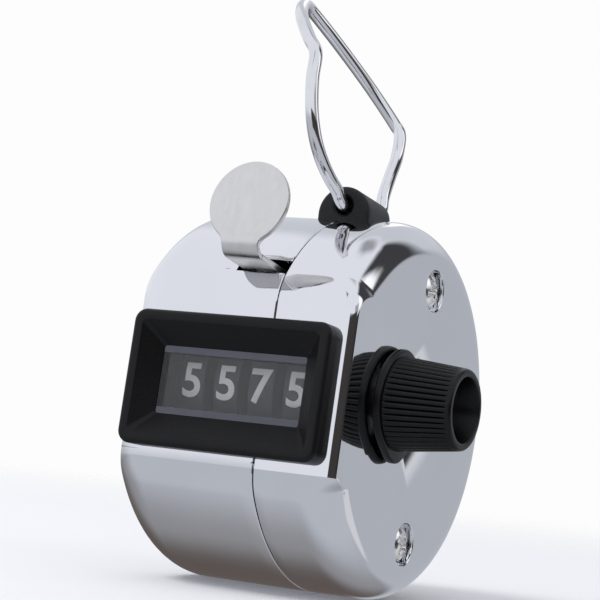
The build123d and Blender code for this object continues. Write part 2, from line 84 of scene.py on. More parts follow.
def skin(bm, rings, around=True, along=False, cap_start=False, cap_end=False, mat=0):
    """Quads between rings that all hold the same number of points."""
    rows = [[bm.verts.new(p) for p in ring] for ring in rings]
    count = len(rows[0])
    last = count if around else count - 1
    pairs = list(zip(rows, rows[1:])) + ([(rows[-1], rows[0])] if along else [])
    for a, b in pairs:
        for i in range(last):
            j = (i + 1) % count
            face = bm.faces.new((a[i], a[j], b[j], b[i]))
            face.material_index = mat
    if cap_start:
        bm.faces.new(list(reversed(rows[0]))).material_index = mat
    if cap_end:
        bm.faces.new(rows[-1]).material_index = mat
    return rows


def tidy(bm):
    bmesh.ops.recalc_face_normals(bm, faces=bm.faces)
    return bm


def join(bm, other):
    """Adds another bmesh's faces to bm and frees it."""
    spare = bpy.data.meshes.new("spare")
    other.to_mesh(spare)
    other.free()
    bm.from_mesh(spare)


def turned(bm, profile, y, z, steps=96, closed=True, mat=0):
    """Surface turned about a line along X: profile is a list of (x, radius)."""
    rings = [circle(x, y, z, radius, steps) for x, radius in profile]
    skin(bm, rings, along=closed, cap_start=not closed, cap_end=not closed, mat=mat)


def circle(x, y, z, radius, steps):
    """Ring of points round a line along X."""
    angles = [2 * math.pi * k / steps for k in range(steps)]
    return [(x, y + radius * math.cos(a), z + radius * math.sin(a)) for a in angles]


def wire_frames(points):
    """A direction and two cross directions at every point, carried along without twist."""
    pts = [Vector(p) for p in points]
    tangents = []
    for i in range(len(pts)):
        a, b = pts[max(i - 1, 0)], pts[min(i + 1, len(pts) - 1)]
        tangents.append((b - a).normalized())
    side = tangents[0].orthogonal().normalized()
    out = []
    for p, t in zip(pts, tangents):
        side = (side - t * side.dot(t)).normalized()
        out.append((p, t, side, t.cross(side)))
    return out


def wire(bm, points, radius, sides=20, mat=0):
    """Round wire along points, with domed ends."""
    frames = wire_frames(points)
    rings = []

    def ring(p, side, up, r):
        angles = [2 * math.pi * k / sides for k in range(sides)]
        return [p + side * (r * math.cos(a)) + up * (r * math.sin(a)) for a in angles]

    p, t, side, up = frames[0]
    rings.append(ring(p - t * radius * 0.3, side, up, radius * 0.75))
    for p, t, side, up in frames:
        rings.append(ring(p, side, up, radius))
    p, t, side, up = frames[-1]
    rings.append(ring(p + t * radius * 0.3, side, up, radius * 0.75))
    skin(bm, rings, cap_start=True, cap_end=True, mat=mat)


def through(points, steps=14):
    """Smooth curve through given points (centripetal Catmull-Rom)."""
    pts = [Vector(p) for p in points]
    pts = [pts[0] * 2 - pts[1]] + pts + [pts[-1] * 2 - pts[-2]]
    out = []
    for p0, p1, p2, p3 in zip(pts, pts[1:], pts[2:], pts[3:]):
        t0 = 0.0
        t1 = t0 + math.sqrt((p1 - p0).length)
        t2 = t1 + math.sqrt((p2 - p1).length)
        t3 = t2 + math.sqrt((p3 - p2).length)
        for k in range(steps):
            t = t1 + (t2 - t1) * k / steps
            a1 = p0 * ((t1 - t) / (t1 - t0)) + p1 * ((t - t0) / (t1 - t0))
            a2 = p1 * ((t2 - t) / (t2 - t1)) + p2 * ((t - t1) / (t2 - t1))
            a3 = p2 * ((t3 - t) / (t3 - t2)) + p3 * ((t - t2) / (t3 - t2))
            b1 = a1 * ((t2 - t) / (t2 - t0)) + a2 * ((t - t0) / (t2 - t0))
            b2 = a2 * ((t3 - t) / (t3 - t1)) + a3 * ((t - t1) / (t3 - t1))
            out.append(b1 * ((t2 - t) / (t2 - t1)) + b2 * ((t - t1) / (t2 - t1)))
    out.append(pts[-2])
    return out


def rounded_rectangle(cx, cz, width, height, corner, y, per_corner=8):
    """Ring of points in a plane that faces -Y."""
    ring = []
    hw, hh = width / 2 - corner, height / 2 - corner
    for qx, qz, start in ((1, 1, 0), (-1, 1, 90), (-1, -1, 180), (1, -1, 270)):
        for k in range(per_corner + 1):
            a = math.radians(start + 90 * k / per_corner)
            ring.append((cx + qx * hw + corner * math.cos(a), y, cz + qz * hh + corner * math.sin(a)))
    return ring


def prism_x(bm, outline, x0, x1, bevel=0.0, mat=0):
    """Flat plate facing X from an outline of (y, z) points, with its edges broken."""
    back = [bm.verts.new((x0, y, z)) for y, z in outline]
    front = [bm.verts.new((x1, y, z)) for y, z in outline]
    count = len(outline)
    rim = []
    for i in range(count):
        j = (i + 1) % count
        bm.faces.new((back[i], back[j], front[j], front[i])).material_index = mat
    faces = [bm.faces.new(list(reversed(back))), bm.faces.new(front)]
    for face in faces:
        face.material_index = mat
        rim += list(face.edges)
    if bevel:
        bmesh.ops.bevel(bm, geom=rim, offset=bevel, segments=3, profile=0.5, affect="EDGES", clamp_overlap=True)


def capsule(a, ra, b, rb, steps=16):
    """Outline around two discs of different radius in the Y-Z plane."""
    ax, az = a
    bx, bz = b
    d = math.hypot(bx - ax, bz - az)
    base = math.atan2(bz - az, bx - ax)
    tilt = math.acos((ra - rb) / d)
    out = []
    for k in range(steps + 1):
        t = base + tilt + (2 * math.pi - 2 * tilt) * k / steps
        out.append((ax + ra * math.cos(t), az + ra * math.sin(t)))
    for k in range(steps + 1):
        t = base - tilt + 2 * tilt * k / steps
        out.append((bx + rb * math.cos(t), bz + rb * math.sin(t)))
    return out


# ------------------------------------------------------------------ materials
def material(name, base, metallic=0.0, rough=0.5, vary=0.1, vary_scale=60.0, rough_vary=0.08,
             bump=0.0, bump_scale=400.0, grain=None, **sockets):
    """Principled surface whose colour, roughness and relief come from noise."""
    mat = bpy.data.materials.new(name)
    mat.use_nodes = True
    tree = mat.node_tree
    nodes, links = tree.nodes, tree.links
    shader = nodes["Principled BSDF"]
    shader.inputs["Metallic"].default_value = metallic
    for key, value in sockets.items():
        shader.inputs[key.replace("_", " ")].default_value = value
    where = nodes.new("ShaderNodeTexCoord")
    place = nodes.new("ShaderNodeMapping")
    if grain:
        place.inputs["Scale"].default_value = grain
    links.new(where.outputs["Object"], place.inputs["Vector"])
    cloud = nodes.new("ShaderNodeTexNoise")
    cloud.inputs["Scale"].default_value = vary_scale
    cloud.inputs["Detail"].default_value = 6.0
    links.new(place.outputs["Vector"], cloud.inputs["Vector"])
    tint = nodes.new("ShaderNodeValToRGB")
    low = [max(c * (1 - vary), 0.0) for c in base]
    high = [min(c * (1 + vary), 1.0) for c in base]
    tint.color_ramp.elements[0].position = 0.3
    tint.color_ramp.elements[0].color = (*low, 1)
    tint.color_ramp.elements[1].position = 0.7
    tint.color_ramp.elements[1].color = (*high, 1)
    links.new(cloud.outputs["Fac"], tint.inputs["Fac"])
    links.new(tint.outputs["Color"], shader.inputs["Base Color"])
    fine = nodes.new("ShaderNodeTexNoise")
    fine.inputs["Scale"].default_value = bump_scale
    fine.inputs["Detail"].default_value = 4.0
    links.new(place.outputs["Vector"], fine.inputs["Vector"])
    spread = nodes.new("ShaderNodeMapRange")
    spread.inputs["From Min"].default_value = 0.3
    spread.inputs["From Max"].default_value = 0.7
    spread.inputs["To Min"].default_value = max(rough - rough_vary, 0.0)
    spread.inputs["To Max"].default_value = min(rough + rough_vary, 1.0)
    links.new(cloud.outputs["Fac"], spread.inputs["Value"])
    links.new(spread.outputs["Result"], shader.inputs["Roughness"])
    if bump:
        relief = nodes.new("ShaderNodeBump")
        relief.inputs["Strength"].default_value = bump
        relief.inputs["Distance"].default_value = 0.0001
        links.new(fine.outputs["Fac"], relief.inputs["Height"])
        links.new(relief.outputs["Normal"], shader.inputs["Normal"])
    return mat


chrome = material("chrome", (0.80, 0.805, 0.83), 1.0, 0.045, vary=0.02, vary_scale=90, rough_vary=0.02,
                  bump=0.015, bump_scale=260)
wire_chrome = material("wire_chrome", (0.78, 0.78, 0.80), 1.0, 0.09, vary=0.05, vary_scale=300, rough_vary=0.04,
                       bump=0.05, bump_scale=700)
satin_nickel = material("satin_nickel", (0.72, 0.71, 0.70), 1.0, 0.30, vary=0.05, vary_scale=700,
                        rough_vary=0.06, bump=0.08, bump_scale=1100, grain=(1.6, 1.0, 0.6))
bright_nickel = material("bright_nickel", (0.90, 0.895, 0.88), 1.0, 0.2, vary=0.08, vary_scale=700,
                         rough_vary=0.06, bump=0.15, bump_scale=1500)
black_satin = material("black_satin", (0.0016, 0.0015, 0.0021), 0.0, 0.36, vary=0.25, vary_scale=120,
                       rough_vary=0.05, bump=0.25, bump_scale=3500, Specular_IOR_Level=0.28)
black_knob = material("black_knob", (0.001, 0.001, 0.0013), 0.0, 0.33, vary=0.25, vary_scale=160,
                      rough_vary=0.06, bump=0.15, bump_scale=3000, Specular_IOR_Level=0.30)
charcoal = material("charcoal", (0.012, 0.012, 0.013), 0.0, 0.48, vary=0.25, vary_scale=200,
                    rough_vary=0.06, bump=0.3, bump_scale=3000, Specular_IOR_Level=0.3)
wheel_black = material("wheel_black", (0.024, 0.025, 0.033), 0.0, 0.5, vary=0.2, vary_scale=200,
                       rough_vary=0.05, bump=0.2, bump_scale=2500)
figure_white = material("figure_white", (0.86, 0.86, 0.86), 0.0, 0.5, vary=0.03, vary_scale=900,
                        rough_vary=0.04, bump=0.1, bump_scale=3000)
steel = material("steel", (0.56, 0.56, 0.57), 1.0, 0.34, vary=0.08, vary_scale=250, rough_vary=0.08,
                 bump=0.12, bump_scale=1200, grain=(1.0, 4.0, 1.0))
spring_steel = material("spring_steel", (0.50, 0.50, 0.50), 1.0, 0.26, vary=0.1, vary_scale=500,
                        rough_vary=0.06, bump=0.1, bump_scale=1500)
natural_plastic = material("natural_plastic", (0.68, 0.66, 0.60), 0.0, 0.42, vary=0.05, vary_scale=200,
                           rough_vary=0.05, bump=0.1, bump_scale=2000)
clear = material("clear", (0.98, 0.98, 0.98), 0.0, 0.04, vary=0.01, vary_scale=200, rough_vary=0.015,
                 bump=0.01, bump_scale=600, Transmission_Weight=1.0, IOR=1.49)

frosted = material("frosted", (0.070, 0.072, 0.090), 0.0, 0.45, vary=0.12, vary_scale=500, rough_vary=0.06,
                   bump=0.15, bump_scale=2500)

slot_look = {"chrome_shell": chrome, "chrome_wire": wire_chrome, "satin_nickel": satin_nickel, "steel": steel,
             "nickel_screw": bright_nickel, "black_plastic": black_satin, "black_gloss": black_knob,
             "charcoal_plastic": charcoal, "clear": clear, "wheel_plastic": wheel_black,
             "ratchet_plastic": natural_plastic, "spring_steel": spring_steel}
node_slot = {s["node"]: s["material_slot"] for s in frame["record"]["subparts"]}
for node, obj in frame["nodes"].items():
    for place in obj.material_slots:
        place.material = slot_look[node_slot[node]]


# ------------------------------------------------------------------ chrome shells
CASE_R = 22.5
END_X = 14.9                                    # half-width of the drum
SEAM_X = 4.9                                    # middle of the gap between the two cups
HALF_GAP = 0.05
BLEND = 7.0                                     # radius that eases the flat seat into the drum
TILT = math.radians(4.2)                        # the seat leans back
SEAT_Y = 19.7                                   # how far in front of the axis the seat crosses its level
SEAT = SEAT_Y * math.cos(TILT)                  # distance of the seat from the drum's axis
OUT_Y, OUT_Z = -math.cos(TILT), math.sin(TILT)  # outward from the seat
UP_Y, UP_Z = math.sin(TILT), math.cos(TILT)     # up the seat
MIDDLE = SEAT_Y * math.sin(TILT)                 # middle of the flat, up from the axis's level
FLAT = math.sqrt((CASE_R - BLEND) ** 2 - (SEAT - BLEND) ** 2)      # half-length of the flat
FLAT_LOW, FLAT_TOP = MIDDLE - FLAT, MIDDLE + FLAT
PAD_LOW = -8.3                                  # the seat's stations run on below the flat
CUT_LOW, CUT_TOP = -6.2, 7.1                    # opening behind the bezel, up the seat
SLOT_LOW, SLOT_TOP = -54.3, -44.9               # the lever's slot, in degrees from straight up
TIGHT, FULL, PLAIN = 1.0, 4.24, 5.05            # edge radii: beside the window, knob end, plain end


def on_seat(x, up, out=0.0):
    """Point by its place up the seat and its distance out from it."""
    up -= MIDDLE
    return x, (SEAT + out) * OUT_Y + up * UP_Y, (SEAT + out) * OUT_Z + up * UP_Z


BLEND_TOP = on_seat(0, FLAT_TOP, -BLEND)[1:]
BLEND_LOW = on_seat(0, FLAT_LOW, -BLEND)[1:]
BLEND_END = math.degrees(math.atan2(*BLEND_TOP))            # where it meets the drum, from straight up
DRUM_END = 360 + math.degrees(math.atan2(*BLEND_LOW))
SEAT_FACES = -90 + math.degrees(TILT)
LOW_END = 360 + SEAT_FACES - math.degrees(math.asin((FLAT_LOW - PAD_LOW) / BLEND))


def stations():
    """Places round the drum: millimetres up the seat, then the direction the surface faces, in degrees."""
    out = []
    for a, b, n in ((PAD_LOW, CUT_LOW, 4), (CUT_LOW, CUT_TOP, 16), (CUT_TOP, FLAT_TOP, 6)):
        out += [("seat", a + (b - a) * k / n) for k in range(n)]
    for a, b, n in ((SEAT_FACES, SLOT_LOW, 18), (SLOT_LOW, BLEND_END, 3)):
        out += [("blend", a + (b - a) * k / n) for k in range(n)]
    for a, b, n in ((BLEND_END, SLOT_TOP, 4), (SLOT_TOP, 0.0, 36), (0.0, DRUM_END, 190)):
        out += [("drum", a + (b - a) * k / n) for k in range(n)]
    out += [("low", DRUM_END + (LOW_END - DRUM_END) * k / 20) for k in range(21)]
    return out


def outline_point(station, inset):
    """The Y and Z of a station, moved in by inset."""
    kind, value = station
    if kind == "seat":
        return on_seat(0, value, -inset)[1:]
    a = math.radians(value)
    centre = {"blend": BLEND_TOP, "low": BLEND_LOW}.get(kind, (0.0, 0.0))
    r = (CASE_R if kind == "drum" else BLEND) - inset
    return centre[0] + r * math.sin(a), centre[1] + r * math.cos(a)


def knob_end_radius(station):
    """Edge radius at the knob end: tight beside the window, easing to its full size on both sides of it."""
    kind, value = station
    if kind == "seat":
        return TIGHT
    t = (360 + SEAT_FACES - value) / 30.0 if value > 180 else (value + 90.0) / 52.0
    t = max(0.0, min(1.0, t))
    return TIGHT + (FULL - TIGHT) * t * t * (3 - 2 * t)


HOLE_STEPS = 72


def shell_mesh(places, levels, end_x, skip, holes):
    """Grid of quads over levels by stations, with its flat end; skip leaves openings out."""
    bm = bmesh.new()
    rows = []
    for level in levels:
        row = []
        for station in places:
            x, inset = level(station)
            if end_x < 0 and station[0] == "seat" and station[1] < FLAT_LOW:
                inset += (FLAT_LOW - station[1]) ** 2 / (2 * BLEND)
            y, z = outline_point(station, inset)
            row.append(bm.verts.new((x, y, z)))
        rows.append(row)
    for i, (a, b) in enumerate(zip(rows, rows[1:])):
        for j in range(len(places) - 1):
            if not skip(i, places[j]):
                bm.faces.new((a[j], a[j + 1], b[j + 1], b[j]))
    # the strip between the last station and the first
    first = [r[0] for r in rows]
    last = [r[-1] for r in rows]
    for i in range(len(rows) - 1):
        bm.faces.new((first[i], first[i + 1], last[i + 1], last[i]))
    # the flat end, with its round openings
    border = rows[-1]
    edges = []
    for a, b in zip(border, border[1:] + border[:1]):
        edges.append(bm.edges.get((a, b)) or bm.edges.new((a, b)))
    for (y, z), rings in holes:
        rim_rows = [[bm.verts.new(p) for p in circle(x, y, z, r, HOLE_STEPS)] for x, r in rings]
        for a, b in zip(rim_rows, rim_rows[1:]):
            for k in range(HOLE_STEPS):
                m = (k + 1) % HOLE_STEPS
                bm.faces.new((a[k], a[m], b[m], b[k]))
        top = rim_rows[0]
        for k in range(HOLE_STEPS):
            pair = (top[k], top[(k + 1) % HOLE_STEPS])
            edges.append(bm.edges.get(pair) or bm.edges.new(pair))
    bmesh.ops.triangle_fill(bm, use_beauty=True, use_dissolve=False, edges=edges,
                            normal=(1 if end_x > 0 else -1, 0, 0))
    bmesh.ops.remove_doubles(bm, verts=bm.verts, dist=1e-5)
    loose = [v for v in bm.verts if not v.link_faces]
    bmesh.ops.delete(bm, geom=loose, context="VERTS")
    bmesh.ops.recalc_face_normals(bm, faces=bm.faces)
    probe = max(bm.faces, key=lambda f: f.calc_center_median().z)
    if probe.normal.z < 0:
        bmesh.ops.reverse_faces(bm, faces=bm.faces)
    return bm


def add_shell(name, bm, node):
    """Shell piece, with the sheet's thickness inward."""
    obj = add_piece(name, bm, [chrome], "case", [node], angle=28)
    thick = obj.modifiers.new("sheet", "SOLIDIFY")
    thick.thickness = 0.8 * MM
    thick.offset = -1.0
    thick.use_rim = True
    thick.use_even_offset = False
    return obj


# the lip beside the seam, as (distance from the seam's face, inset)
SEAM_LIP = ((0.0, 0.5), (0.0, 0.17), (0.035, 0.075), (0.10, 0.018), (0.19, 0.0))
places = stations()
SCREWS = ((1.7, 14.8), (0.4, -15.5))            # Y and Z of the case screws


def behind_bezel(station):
    return station[0] == "seat" and CUT_LOW - 0.05 < station[1] < CUT_TOP - 0.05


levels = [lambda s, dx=dx, cut=cut: (SEAM_X + HALF_GAP + dx, cut) for dx, cut in SEAM_LIP]
LIP_END = 5.08
for t in (0.2, 0.4, 0.6, 0.8188, 0.91):
    levels.append(lambda s, t=t: (LIP_END + (END_X - knob_end_radius(s) - LIP_END) * t, 0.0))
for k in range(15):
    a = math.radians(90 * k / 14)
    levels.append(lambda s, a=a: (END_X - knob_end_radius(s) * (1 - math.sin(a)),
                                  knob_end_radius(s) * (1 - math.cos(a))))
# openings of the flat end, as (x, radius) from the outside in
recess = [(END_X, 2.68), (14.887, 2.61), (14.84, 2.55), (14.74, 2.515), (14.6, 2.5), (13.87, 2.5),
          (13.8, 2.43), (13.8, 1.15)]
shaft_hole = [(END_X, 2.3), (14.86, 2.22), (14.75, 2.2), (14.2, 2.2)]
bm = shell_mesh(places, levels, END_X, lambda i, s: i < len(SEAM_LIP) + 3 and behind_bezel(s),
                [(at, recess) for at in SCREWS] + [((WHEEL_Y, WHEEL_Z), shaft_hole)])
add_shell("right_shell_chrome", bm, "right_shell")

levels = [lambda s, dx=dx, cut=cut: (SEAM_X - HALF_GAP - dx, cut) for dx, cut in SEAM_LIP]
for x in (3.0, 0.7, -1.7, -4.4, -7.1):
    levels.append(lambda s, x=x: (x, 0.0))
for k in range(17):
    a = math.radians(90 * k / 16)
    levels.append(lambda s, a=a: (-END_X + PLAIN * (1 - math.sin(a)), PLAIN * (1 - math.cos(a))))


def left_skip(i, s):
    """The window's opening and the lever's slot."""
    window = i < len(SEAM_LIP) + 5 and behind_bezel(s)
    in_slot = s[0] in ("blend", "drum") and SLOT_LOW - 0.01 < s[1] < SLOT_TOP - 0.01
    return window or (in_slot and i < len(SEAM_LIP) + 2)


bm = shell_mesh(places, levels, -END_X, left_skip, [])
add_shell("left_shell_chrome", bm, "left_shell")

# ------------------------------------------------------------------ finger ring
ring_points = [(4.85, -1.6, 23.75), (4.85, -3.6, 23.75), (4.82, -5.3, 23.9), (4.62, -6.55, 25.2),
               (4.46, -8.3, 26.3), (4.22, -10.2, 27.9), (3.88, -11.8, 30.1), (3.4, -12.65, 33.2),
               (2.75, -12.3, 37.4), (2.2, -11.2, 40.9), (0.66, -10.3, 42.8), (-2.24, -7.3, 46.0),
               (-4.86, -2.64, 48.6), (-5.88, 0.4, 49.4), (-5.57, 2.4, 48.6), (-4.05, 5.8, 46.05),
               (-0.96, 10.45, 41.2), (2.2, 12.25, 36.8), (3.0, 12.25, 35.7), (3.5, 11.15, 32.5),
               (4.0, 8.6, 29.3), (4.46, 6.4, 26.3), (4.7, 5.8, 24.8), (4.84, 4.6, 23.8), (4.85, 2.4, 23.75),
               (4.85, 1.0, 23.75)]
bm = bmesh.new()
wire(bm, through(ring_points, 12), 0.8, sides=28)
add_piece("finger_ring_wire", tidy(bm), [wire_chrome], "ring", ["finger_ring"], angle=50)

# ------------------------------------------------------------------ lug
LUG_STEPS = 30
LUG_FRONT, LUG_BACK = -5.0, 3.6
LUG_EDGE, LUG_BACK_EDGE = 0.5, 0.35             # roundings of the two faces


def lug_ring(y, inset):
    """Half-round arch with straight sides, down to just inside the drum."""
    t = (y - LUG_FRONT) / (LUG_BACK - LUG_FRONT)
    radius = 3.45 + (2.3 - 3.45) * t - inset
    centre_z = 22.65 + (23.0 - 22.65) * t
    foot_z = math.sqrt(CASE_R ** 2 - y ** 2) - 0.3
    ring = []
    for k in range(LUG_STEPS + 1):
        a = math.pi * k / LUG_STEPS
        ring.append((LUG_X + radius * math.cos(a), y, centre_z + radius * math.sin(a)))
    for k in range(1, 6):
        ring.append((LUG_X - radius, y, centre_z + (foot_z - centre_z) * k / 6))
    for k in range(9):
        ring.append((LUG_X - radius * (1 - k / 4), y, foot_z))
    for k in range(5, 0, -1):
        ring.append((LUG_X + radius, y, centre_z + (foot_z - centre_z) * k / 6))
    return ring


def bore_ring(y, radius):
    """Ring of the bore, with a point in the direction of each point of the arch."""
    ring = []
    for x, _, z in lug_ring(y, 0.0):
        a = math.atan2(z - LUG_Z, x - LUG_X)
        ring.append((LUG_X + radius * math.cos(a), y, LUG_Z + radius * math.sin(a)))
    return ring


bm = bmesh.new()
sections = []
for k in range(6, -1, -1):
    a = math.radians(15 * k)
    sections.append(lug_ring(LUG_FRONT + LUG_EDGE * (1 - math.sin(a)), LUG_EDGE * (1 - math.cos(a))))
sections += [lug_ring(y, 0.0) for y in (-3.0, -1.2, 0.6, 2.2)]
for k in range(7):
    a = math.radians(15 * k)
    sections.append(lug_ring(LUG_BACK - LUG_BACK_EDGE * (1 - math.sin(a)), LUG_BACK_EDGE * (1 - math.cos(a))))
sections += [bore_ring(LUG_BACK, 1.35), bore_ring(3.4, 1.17), bore_ring(-4.75, 1.17), bore_ring(LUG_FRONT, 1.42)]
skin(bm, sections, along=True)
add_piece("ring_lug_body", tidy(bm), [charcoal], "case", ["ring_lug"], angle=40)

# ------------------------------------------------------------------ thumb lever
SHEET, NECK, PAD = 0.7, 2.3, 4.95               # thickness, half-width of the neck, radius of the pad
PIVOT = (-13.0, 12.25)                          # Y and Z of the pin, as are the two below
BEND = (-23.1, 15.5)
PAD_TOP = (-20.6, 26.05)
EYE = 1.75                                      # radius of the sleeve round the pin
LEVER_X = 1.6
BEND_RADIUS = 1.35


def lever_line():
    """The sheet's middle line in Y and Z, two runs joined by an arc.

    Gives place(s), the length of the first run, the length of the arc and the whole length.
    """
    start = Vector((PIVOT[0], PIVOT[1] + EYE - SHEET / 2))
    corner, top = Vector(BEND), Vector(PAD_TOP)
    into, out = (corner - start).normalized(), (top - corner).normalized()
    turn = math.acos(max(-1, min(1, into.dot(out))))
    cut = BEND_RADIUS * math.tan(turn / 2)
    run_a = (corner - start).length - cut
    arc = BEND_RADIUS * turn
    run_b = (top - corner).length - cut
    normal = Vector((into.y, -into.x))
    if normal.dot(out) < 0:
        normal = -normal
    centre = start + into * run_a + normal * BEND_RADIUS

    def place(s):
        if s <= run_a:
            return start + into * s, into
        if s <= run_a + arc:
            a = (s - run_a) / BEND_RADIUS
            d = into * math.cos(a) + normal * math.sin(a)
            return centre + into * (BEND_RADIUS * math.sin(a)) - normal * (BEND_RADIUS * math.cos(a)), d
        arc_end = centre + into * (BEND_RADIUS * math.sin(turn)) - normal * (BEND_RADIUS * math.cos(turn))
        return arc_end + out * (s - run_a - arc), out

    return place, run_a, arc, run_a + arc + run_b


place_lever, tongue, arc, sheet_length = lever_line()
disc_s = sheet_length - PAD
fillet = 1.6
reach = math.sqrt((PAD + fillet) ** 2 - (NECK + fillet) ** 2)
right_side = [(NECK, 0.0), (NECK, disc_s - reach)]
meet = math.atan2(reach, NECK + fillet)
for k in range(1, 9):
    a = math.pi - meet * k / 8
    right_side.append((NECK + fillet + fillet * math.cos(a), disc_s - reach + fillet * math.sin(a)))
for k in range(1, 41):
    a = -meet + (math.pi / 2 + meet) * k / 40
    right_side.append((PAD * math.cos(a), disc_s + PAD * math.sin(a)))
outline = right_side + [(-x, s) for x, s in reversed(right_side[:-1])]
bm = bmesh.new()
face = bm.faces.new([bm.verts.new((x, s, -SHEET / 2)) for x, s in outline])
grown = bmesh.ops.extrude_face_region(bm, geom=[face])
top = [v for v in grown["geom"] if isinstance(v, bmesh.types.BMVert)]
bmesh.ops.translate(bm, vec=(0, 0, SHEET), verts=top)
bmesh.ops.recalc_face_normals(bm, faces=bm.faces)
rims = [e for e in bm.edges if abs(e.verts[0].co.z - e.verts[1].co.z) < 1e-6]
bmesh.ops.bevel(bm, geom=rims, offset=0.14, segments=3, profile=0.5, affect="EDGES", clamp_overlap=True)
for k in range(-1, 16):
    s = tongue + arc * k / 14
    bmesh.ops.bisect_plane(bm, geom=bm.verts[:] + bm.edges[:] + bm.faces[:],
                           plane_co=(0, s, 0), plane_no=(0, 1, 0))
for v in bm.verts:
    x, s, h = v.co
    at, along = place_lever(s)
    up = Vector((-along.y, along.x))
    if s < tongue and up.y < 0:
        up = -up
    p = at + up * h
    v.co = (LEVER_X + x, p.x, p.y)
# the eye round the pivot, the two arms and the spring's stud
LEFT_ARM, RIGHT_ARM, ARM = -10.55, 10.2, 0.6
eye = bmesh.new()
turned(eye, [(LEFT_ARM, 1.05), (LEFT_ARM, EYE - 0.1), (LEFT_ARM + 0.1, EYE), (RIGHT_ARM + ARM - 0.1, EYE),
             (RIGHT_ARM + ARM, EYE - 0.1), (RIGHT_ARM + ARM, 1.05)], *PIVOT, steps=40)
for arm_x in (LEFT_ARM, RIGHT_ARM):
    prism_x(eye, capsule(PIVOT, EYE + 0.02, (2.0, 11.5), 1.5), arm_x, arm_x + ARM, bevel=0.08)
prism_x(eye, capsule((2.0, 11.5), 1.48, (7.5, 11.3), 1.0), LEFT_ARM + 0.01, LEFT_ARM + ARM - 0.01, bevel=0.08)
turned(eye, [(LEFT_ARM + ARM - 0.1, 0.45), (-7.9, 0.45), (-7.8, 0.36)], 7.5, 11.3, steps=24, closed=False)
join(bm, eye)
add_piece("thumb_lever_sheet", tidy(bm), [satin_nickel], "lever", ["thumb_lever"], angle=40)

# ------------------------------------------------------------------ window frame
SIGHT = (0.55, 0.68)                            # middle of the sight opening: X, and Z up the seat
BEZEL = (0.35, 0.7)                             # middle of the bezel
PROUD = 1.85
FLANGE_W, FLANGE_H, FLANGE_CORNER = 25.6, 15.65, 1.5
FLANGE_EDGE = 0.5


def frame_ring(out, width, height, corner, centre=BEZEL):
    ring = rounded_rectangle(*centre, width, height, corner, 0.0)
    return [on_seat(x, up, out) for x, _, up in ring]


bm = bmesh.new()
rings = [frame_ring(out, FLANGE_W, FLANGE_H, FLANGE_CORNER) for out in (-0.9, PROUD - FLANGE_EDGE)]
for k in range(1, 7):
    a = math.radians(15 * k)
    cut = FLANGE_EDGE * (1 - math.cos(a))
    rings.append(frame_ring(PROUD - FLANGE_EDGE * (1 - math.sin(a)), FLANGE_W - 2 * cut, FLANGE_H - 2 * cut,
                            FLANGE_CORNER - cut))
rings += [frame_ring(PROUD, 23.2, 13.25, 0.75), frame_ring(PROUD - 0.02, 23.08, 13.13, 0.72),
          frame_ring(PROUD - 0.08, 22.98, 13.03, 0.68)]
rings += [frame_ring(0.2, 18.68, 8.03, 0.36, SIGHT), frame_ring(0.12, 18.54, 7.89, 0.32, SIGHT),
          frame_ring(0.08, 18.5, 7.85, 0.3, SIGHT), frame_ring(0.06, 20.3, 9.65, 0.3, SIGHT),
          frame_ring(-1.4, 20.3, 9.65, 0.3, SIGHT), frame_ring(-1.4, 23.4, 13.45, 0.8),
          frame_ring(-0.9, 23.4, 13.45, 0.8)]
skin(bm, rings, along=True)
add_piece("window_frame_moulding", tidy(bm), [black_satin], "case", ["window_frame"], angle=28)

# the lens plate, with its frosted border along the top and the bottom
LENS_W, LENS_H, LENS_FRONT, LENS_BACK = 20.2, 9.55, 0.1, -1.0
bm = bmesh.new()
CHAMFER, FROST = 0.12, 1.62                     # the front's edge, and the end of the frosted borders
heights = [CHAMFER - LENS_H / 2, FROST - LENS_H / 2, LENS_H / 2 - FROST, LENS_H / 2 - CHAMFER]
sides = (SIGHT[0] - LENS_W / 2, SIGHT[0] + LENS_W / 2)
front, waist, back = [], [], []
for up in heights:
    front.append([bm.verts.new(on_seat(x, SIGHT[1] + up, LENS_FRONT))
                  for x in (sides[0] + CHAMFER, sides[1] - CHAMFER)])
for ring, out in ((waist, LENS_FRONT - CHAMFER), (back, LENS_BACK)):
    tall = [-LENS_H / 2, heights[1], heights[2], LENS_H / 2]
    ring += [[bm.verts.new(on_seat(x, SIGHT[1] + up, out)) for x in sides] for up in tall]
for k in range(3):
    for a, b in ((front[k], front[k + 1]), (back[k + 1], back[k])):
        face = bm.faces.new((a[0], a[1], b[1], b[0]))
        face.material_index = 1 if k != 1 else 0
    for near, far in ((front, waist), (waist, back)):
        bm.faces.new((near[k][0], near[k + 1][0], far[k + 1][0], far[k][0]))
        bm.faces.new((near[k + 1][1], near[k][1], far[k][1], far[k + 1][1]))
for near, far in ((front, waist), (waist, back)):
    bm.faces.new((near[0][1], near[0][0], far[0][0], far[0][1]))
    bm.faces.new((near[3][0], near[3][1], far[3][1], far[3][0]))
add_piece("window_lens_plate", tidy(bm), [clear, frosted], "case", ["window_lens"], angle=20)

# ------------------------------------------------------------------ number wheels
RADIUS = 9.4                                    # of the wheels
PITCH, HALF_WHEEL = 4.56, 1.65                  # wheel spacing, and half of a wheel's width
FIRST_X = 0.55                                  # middle of the row of wheels
FIGURE_H, FIGURE_RAISED = 4.05, 0.05


